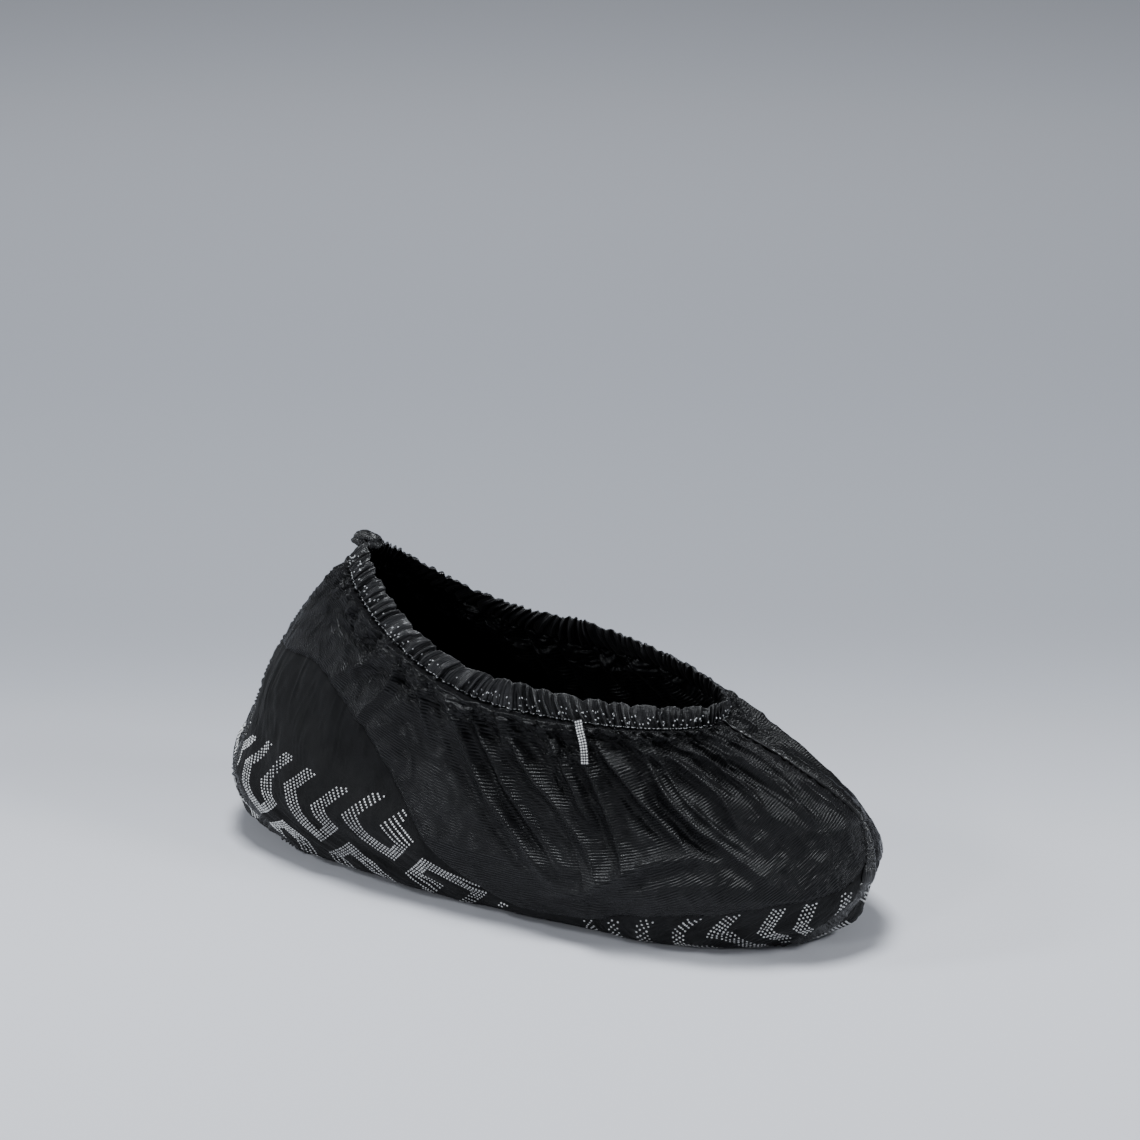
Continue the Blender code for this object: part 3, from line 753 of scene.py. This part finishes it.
# Six-sided dome of unit radius: two rings of points and the top.
SIXTHS = np.linspace(0, 2 * math.pi, 6, endpoint=False)
DOME = np.array([(math.cos(a), math.sin(a), -0.5) for a in SIXTHS]
                + [(0.84 * math.cos(a), 0.84 * math.sin(a), 0.62) for a in SIXTHS] + [(0, 0, 1)])
DOME_FACES = [(k, (k + 1) % 6, 6 + (k + 1) % 6, 6 + k) for k in range(6)]
DOME_CAPS = [(6 + k, 6 + (k + 1) % 6, 12) for k in range(6)]

grip_rubber, tree, shader = node_material("grip_rubber")
spot = shader_node(tree, "TexCoord").outputs["Object"]
worn = noise(tree, spot, 260.0, 4.0)
rub = mapped(tree, maths(tree, "MULTIPLY", worn, noise(tree, spot, 35.0, 2.0)), 0.14, 0.36, 0.0, 1.0)
colour = blend_colour(tree, rub, (0.42, 0.42, 0.42), (0.78, 0.78, 0.77))
tree.links.new(colour, shader.inputs["Base Color"])
tree.links.new(mapped(tree, worn, 0.3, 0.7, 0.62, 0.42), shader.inputs["Roughness"])


def dots_mesh(name, centre, normal, radius, height, material):
    """Small raised domes at every centre, each turned to its own normal."""
    aside = unit(np.cross(normal, np.array([0.23, 0.31, 0.92])))
    along = np.cross(normal, aside)
    points = (centre[:, None] + aside[:, None] * (DOME[None, :, 0:1] * radius[:, None, None])
              + along[:, None] * (DOME[None, :, 1:2] * radius[:, None, None])
              + normal[:, None] * (DOME[None, :, 2:3] * height))
    faces = []
    for k in range(len(centre)):
        base = len(DOME) * k
        faces += [tuple(base + v for v in face) for face in DOME_FACES + DOME_CAPS]
    return smooth_piece(name, points, faces, material)


def between(grid, u, v):
    """Value of a grid at fractional columns u and rows v, with its two slopes."""
    i = np.clip(np.floor(u).astype(int), 0, grid.shape[1] - 2)
    j = np.clip(np.floor(v).astype(int), 0, grid.shape[0] - 2)
    s, t = (u - i)[:, None], (v - j)[:, None]
    low = grid[j, i] * (1 - s) + grid[j, i + 1] * s
    top = grid[j + 1, i] * (1 - s) + grid[j + 1, i + 1] * s
    along_u = (grid[j, i + 1] - grid[j, i]) * (1 - t) + (grid[j + 1, i + 1] - grid[j + 1, i]) * t
    return low * (1 - t) + top * t, along_u, top - low


def printed_dots(side, where, first, last):
    """Columns and rows on one half's grid where the dots of the print fall."""
    angle, level, outer = lower_grids[side]
    place = printed_place(angle, level, where)
    rows, columns = level.shape
    cells = np.concatenate([np.concatenate([n * HOOK_STEP + HOOK, n * HOOK_STEP + TWIN_HOOK - HOOK])
                            for n in range(-9, 10)])
    nearest = kdtree.KDTree(rows * columns)
    for k, (i, j) in enumerate(place.reshape(-1, 2).tolist()):
        if first <= k % columns <= last:
            nearest.insert((i, j, 0.0), k)
    nearest.balance()
    found = [nearest.find((i, j, 0.0)) for i, j in cells.tolist()]
    near_enough = np.array([item[2] < 3.0 for item in found])
    cells, start_at = cells[near_enough], np.array([item[1] for item in found])[near_enough]
    v, u = np.divmod(start_at, columns)
    u, v = u.astype(float), v.astype(float)
    for _ in range(8):
        at, du, dv = between(place, u, v)
        gap = cells - at
        turn = du[:, 0] * dv[:, 1] - du[:, 1] * dv[:, 0]
        turn = np.where(np.abs(turn) < 1e-9, 1e-9, turn)
        u = u + np.clip((gap[:, 0] * dv[:, 1] - gap[:, 1] * dv[:, 0]) / turn, -3, 3)
        v = v + np.clip((gap[:, 1] * du[:, 0] - gap[:, 0] * du[:, 1]) / turn, -3, 3)
        u, v = np.clip(u, 0, columns - 1.001), np.clip(v, 0, rows - 1.001)
    at, _, _ = between(place, u, v)
    kept = length(cells - at) < 0.1
    kept = kept & (v > 0.5) & (v < rows - 4) & (u > max(first, 2)) & (u < min(last, columns - 3))
    return u[kept], v[kept]


# Parts of each half's print: which map it follows, first and last column.
TOE_COLUMNS = 258
PRINT_PARTS = (
    ("near", 1, (("toe", 0, TOE_COLUMNS), ("heel", TOE_COLUMNS + 1, LOWER_COLUMNS))),
    ("far", -1, (("far", 0, LOWER_COLUMNS),)),
)

for half, side, parts in PRINT_PARTS:
    outer = lower_grids[side][2]
    face_out = grid_normal(outer)
    spots = [printed_dots(side, *part) for part in parts]
    u, v = (np.concatenate([spot[k] for spot in spots]) for k in (0, 1))
    centres = between(outer, u, v)[0]
    normals = between(face_out, u, v)[0]
    clear = length(centres[:, None] - line[None, ::4]).min(axis=1)
    centres, normals = centres[clear > SEAM_CLEARANCE], unit(normals[clear > SEAM_CLEARANCE])
    radius = DOT_RADIUS * (1 + 0.07 * np.random.default_rng(7).standard_normal(len(centres)))
    dots = dots_mesh(half + "_grip_dots", centres, normals, radius, DOT_HEIGHT, grip_rubber)
    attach(dots, "root")

# Casing stitches and thread specks
# One row of pale lockstitch closes the hem along its foot. Above it flecks of the sewn elastic's thread sit
# on the pleats, painted pale as glints.

STITCH_LENGTH, STITCH_PITCH, THREAD_RADIUS = 0.00125, 0.0021, 0.00017
FLECKS, FLECK_RADIUS = 300, 0.00026
pale_thread, tree, shader = node_material("pale_thread")
twist = noise(tree, shader_node(tree, "TexCoord").outputs["Object"], 900.0, 3.0)
colour = blend_colour(tree, twist, (0.30, 0.31, 0.32), (0.80, 0.81, 0.82))
tree.links.new(colour, shader.inputs["Base Color"])
relief = shader_node(tree, "Bump", {"Height": twist, "Strength": 0.5, "Distance": 0.0002})
tree.links.new(relief.outputs[0], shader.inputs["Normal"])
shader.inputs["Roughness"].default_value = 0.4


def stitches_mesh(name, starts, ends, outs, radius, material):
    """Short rounded thread stitches, each a six-sided bow between two points."""
    along = ends - starts
    aside = unit(np.cross(along, outs))
    up = unit(np.cross(aside, along))
    shape = ((0.0, 0.25, -0.9), (0.12, 0.85, -0.1), (0.5, 1.0, 0.5), (0.88, 0.85, -0.1), (1.0, 0.25, -0.9))
    points = []
    for share, wide, lift in shape:
        centre = starts + along * share + up * (lift * radius)
        points.append(centre[:, None] + (aside[:, None] * np.cos(SIXTHS)[None, :, None]
                                         + up[:, None] * np.sin(SIXTHS)[None, :, None]) * radius * wide)
    points = np.stack(points, 1)
    faces = []
    for k in range(len(starts)):
        base = 30 * k
        for r in range(4):
            for s in range(6):
                t = (s + 1) % 6
                low = base + 6 * r
                faces.append((low + s, low + t, low + 6 + t, low + 6 + s))
        faces.append(tuple(base + s for s in range(5, -1, -1)))
        faces.append(tuple(base + 24 + s for s in range(6)))
    return smooth_piece(name, points, faces, material)


hem_out = unit(np.cross(np.roll(hem, -1, axis=1) - np.roll(hem, 1, axis=1),
                        np.roll(hem, -1, axis=0) - np.roll(hem, 1, axis=0)))
if (hem_out[7, 0] * np.array([1.0, 0, 0])).sum() < 0:
    hem_out = -hem_out
foot_line = hem[1]
foot_run = run_along(np.concatenate([foot_line, foot_line[:1]]))
count = int(foot_run[-1] / STITCH_PITCH)
chance = np.random.default_rng(12)
first = np.searchsorted(foot_run, np.arange(count) * STITCH_PITCH + 1e-9) % CASING_COLUMNS
last = np.searchsorted(foot_run, np.arange(count) * STITCH_PITCH + STITCH_LENGTH) % CASING_COLUMNS
lift = THREAD_RADIUS * 0.9
starts = foot_line[first] + hem_out[1][first] * lift
ends = foot_line[last] + hem_out[1][last] * lift
foot_stitches = stitches_mesh("casing_foot_stitches", starts, ends, hem_out[1][first],
                              THREAD_RADIUS, pale_thread)
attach(foot_stitches, "root")

# Thread flecks whose pale colour is painted glints.
pick = chance.choice(CASING_COLUMNS, FLECKS, replace=False)
row = chance.integers(3, 9, len(pick))
size = chance.uniform(0.0005, 0.0010, len(pick))
slant = chance.uniform(-0.5, 0.5, len(pick))
at = hem[row, pick] + hem_out[row, pick] * 0.00022
upward = unit(hem[row + 1, pick] - hem[row - 1, pick])
aside = unit(np.cross(upward, hem_out[row, pick]))
lean = unit(upward + aside * slant[:, None]) * size[:, None] / 2
flecks = stitches_mesh("casing_thread_painted_glints", at - lean, at + lean, hem_out[row, pick],
                       FLECK_RADIUS, pale_thread)
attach(flecks, "root")

# Knotted casing end
# The hem's tail is bunched and tied at the heel's peak. It is a short soft
# tuft of two folded lobes with a cinched neck.

# How far the tuft sits below the middle of the plain knot, in metres.
KNOT_SINK = 0.0046

knot_low, knot_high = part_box("collar_knot")
knot_mid = (np.array(knot_low) + np.array(knot_high)) / 2
knot_half = (np.array(knot_high) - np.array(knot_low)) / 2
tilt = np.linspace(0, math.pi, 49)[:, None]
turn = np.linspace(0, 2 * math.pi, 97)[None, :-1]
lobes = 0.84 + 0.30 * np.cos(2 * turn + 0.5) * np.sin(tilt) ** 2
lobes = lobes - 0.16 * np.exp(-((tilt - 1.75) / 0.22) ** 2)
creases = 0.075 * np.cos(11 * turn + 4 * tilt + 2 * cloth_noise(turn * 1.3, tilt * 2, 71)) * np.sin(tilt)
creases = creases + 0.06 * cloth_noise(turn * 3.2, tilt * 5, 73) * np.sin(tilt)
radius = lobes + creases - 0.22 * np.exp(-((np.cos(turn - 0.2)) / 0.20) ** 2) * np.sin(tilt) ** 2
across_x = knot_half[0] * 1.02 * radius * np.sin(tilt) * np.cos(turn) - 0.0006 * np.cos(tilt)
across_y = knot_half[1] * 1.10 * radius * np.sin(tilt) * np.sin(turn)
depth = knot_half[2] * 1.25 * (0.85 + 0.15 * np.cos(2 * turn + 1)) * np.cos(tilt) * (0.9 + 0.1 * radius)
tuft = np.stack([knot_mid[0] + across_x, knot_mid[1] + across_y, knot_mid[2] - KNOT_SINK - depth], -1)
rows, columns = tuft.shape[:2]
index = np.arange(rows * columns).reshape(rows, columns)
beside = np.roll(index, -1, axis=1)
faces = quads(index[:-1], beside[:-1], beside[1:], index[1:])
grain = spread(tilt * 0.006, turn * 0.004)
tuft_piece = smooth_piece("knotted_tuft", tuft, faces.tolist(), puckered_seam_nylon, grain)
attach(tuft_piece, "root")
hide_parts("collar_knot")

# Dotted pull tab
# A short loop of narrow black tape sewn into the hem's foot on the near side,
# printed with three rows of the same raised dots.

# Middle line of the tab from the hem down: degrees from the toe, level.
TAB_LINE = ((69.8, 6.15), (71.0, 5.80), (72.8, 5.46), (74.6, 5.20), (76.5, 4.95))
TAB_WIDTH, TAB_THICK = 0.0034, 0.0007
# The tape laid flat, in metres, as wide as can be declared, and its real area.
TAB_DOT_RADIUS, TAB_DOT_HEIGHT = 0.00048, 0.00024
TAB_DOT_ROWS, TAB_DOT_STEP = (-0.00108, 0.0, 0.00108), 0.00118
turn = np.radians([row[0] for row in TAB_LINE])
level = np.array([row[1] for row in TAB_LINE])
base, normal = worn_shape(turn, level), outward(turn, level)
middle = base + normal * (np.array([1.0, 1.55, 2.0, 2.1, 1.9]) * 0.0022 + 0.0006)[:, None]
share = np.linspace(0, 4, 41)
middle = points_at(share, range(5), middle)
normal = unit(points_at(share, range(5), normal))
for _ in range(12):
    middle[1:-1] = (middle[:-2] + 2 * middle[1:-1] + middle[2:]) / 4
along = unit(np.gradient(middle, axis=0))
across = unit(np.cross(along, normal))
out = unit(np.cross(across, along))
out = out * np.sign((out * normal).sum(-1, keepdims=True))
wide = np.linspace(1, -1, 9)
face = middle[:, None] + across[:, None] * (wide * TAB_WIDTH / 2)[None, :, None]
crown = 0.00016 * (1 - wide**2) * np.ones((41, 1)) + 0.00008 * np.cos(share * 2)[:, None]
face = face + out[:, None] * crown[..., None]
run = run_along(middle)
grain = spread(run[:, None], wide * TAB_WIDTH / 2)
black_tape = woven_cloth(
    "black_tape", dark=(0.02, 0.02, 0.022), light=(0.06, 0.06, 0.064), rough=0.55,
    rough_span=0.08, rib=0.50, weft=0.50, weft_share=0.8, bump=0.5, sheen=0.05, gleam=0.3)
tape = cloth_mesh("pull_tab_tape", face, TAB_THICK, grain, black_tape)
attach(tape, "root")
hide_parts("pull_tab")
steps = np.arange(0.0008, run[-1] - 0.0003, TAB_DOT_STEP)
centre, aside, outs = (points_at(steps, run, rows) for rows in (middle, across, out))
centres = [centre + aside * offset + outs * 0.00016 for offset in TAB_DOT_ROWS]
tab_dots = dots_mesh("pull_tab_dots", np.concatenate(centres), unit(np.concatenate([outs] * 3)),
                     np.full(3 * len(steps), TAB_DOT_RADIUS), TAB_DOT_HEIGHT, grip_rubber)
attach(tab_dots, "root")

# Floor, light and camera
# A flat pale floor with painted shade that darkens it with the distance behind the cover, where the light
# falls off, lit by large soft lights, and the camera at the photograph's place.

FLOOR_REACH, FLOOR_CORNERS = 9, ((-1, -1), (1, -1), (1, 1), (-1, 1))
# Floor colour near the cover, then the darker colour of the painted shade behind it.
FLOOR_PALE, FLOOR_PAINTED_SHADE = (0.63, 0.634, 0.67), (0.300, 0.309, 0.338)
LIGHT_COLOUR = (0.92, 0.96, 1.0)
# Name, place, size in metres and power in watts of each light.
LIGHTS = (
    ("overhead_softbox", (-0.15, 0.10, 1.7), 0.5, 39),
    ("left_softbox", (-1.5, -0.6, 1.1), 0.28, 13),
    ("front_softbox", (-0.55, -1.25, 1.0), 0.22, 4),
    ("right_softbox", (1.3, 0.1, 1.0), 0.28, 11),
)
CAMERA_AZIMUTH, CAMERA_ELEVATION, CAMERA_DISTANCE = math.radians(23), math.radians(25), 1.35981
FOCAL_PIXELS, PHOTO_PIXELS = 3215.82, 1140

floor_mesh = bpy.data.meshes.new("pale_floor")
floor_mesh.from_pydata([(x * FLOOR_REACH, y * FLOOR_REACH, 0) for x, y in FLOOR_CORNERS], [], [(0, 1, 2, 3)])
pale_paper, tree, shader = node_material("pale_paper")
spot = shader_node(tree, "TexCoord").outputs["Object"]
# Painted shade: the floor darkens with the distance behind the cover and lightens a little again far off.
behind = shader_node(tree, "VectorMath", {0: spot, 1: (-0.39, 0.92, 0.0)}, operation="DOT_PRODUCT")
behind = maths(tree, "MULTIPLY_ADD", noise(tree, spot, 3.0, 3.0), 0.05, behind.outputs["Value"])
shade = mapped(tree, behind, -0.06, 0.30, 0.0, 1.0, interpolation_type="SMOOTHSTEP")
lifted = mapped(tree, behind, 0.55, 1.2, 0.0, 0.30, interpolation_type="SMOOTHSTEP")
shade = maths(tree, "SUBTRACT", shade, lifted)
tree.links.new(blend_colour(tree, shade, FLOOR_PALE, FLOOR_PAINTED_SHADE), shader.inputs["Base Color"])
shader.inputs["Roughness"].default_value = 0.8
shader.inputs["Specular IOR Level"].default_value = 0.1
floor_mesh.materials.append(pale_paper)
floor = in_scene("pale_floor", floor_mesh)

world = bpy.data.worlds.new("soft_room")
world.use_nodes = True
world.node_tree.nodes["Background"].inputs["Color"].default_value = (0.86, 0.90, 1.0, 1)
world.node_tree.nodes["Background"].inputs["Strength"].default_value = 0.17
bpy.context.scene.world = world

for name, place, size, power in LIGHTS:
    light = bpy.data.lights.new(name, "AREA")
    light.shape = "SQUARE"
    light.size = size
    light.energy = power
    light.color = LIGHT_COLOUR
    lamp = in_scene(name, light)
    lamp.location = place
    lamp.rotation_euler = (Vector((0, 0, 0.06)) - Vector(place)).to_track_quat("-Z", "Y").to_euler()

right = np.array([math.cos(CAMERA_AZIMUTH), math.sin(CAMERA_AZIMUTH), 0.0])
back = np.array([right[1] * math.cos(CAMERA_ELEVATION), -right[0] * math.cos(CAMERA_ELEVATION),
                 math.sin(CAMERA_ELEVATION)])
above = np.cross(back, right)
place = right * 0.00869 + np.array([0, 0, 0.14367]) + back * CAMERA_DISTANCE
lens = bpy.data.cameras.new("photo_camera")
lens.sensor_width = 36.0
lens.lens = 36.0 * FOCAL_PIXELS / PHOTO_PIXELS
lens.clip_start, lens.clip_end = 0.05, 50.0
camera = in_scene("photo_camera", lens)
columns = np.stack([right, above, back, place], 1)
camera.matrix_world = Matrix([*columns.tolist(), [0, 0, 0, 1]])
bpy.context.scene.camera = camera
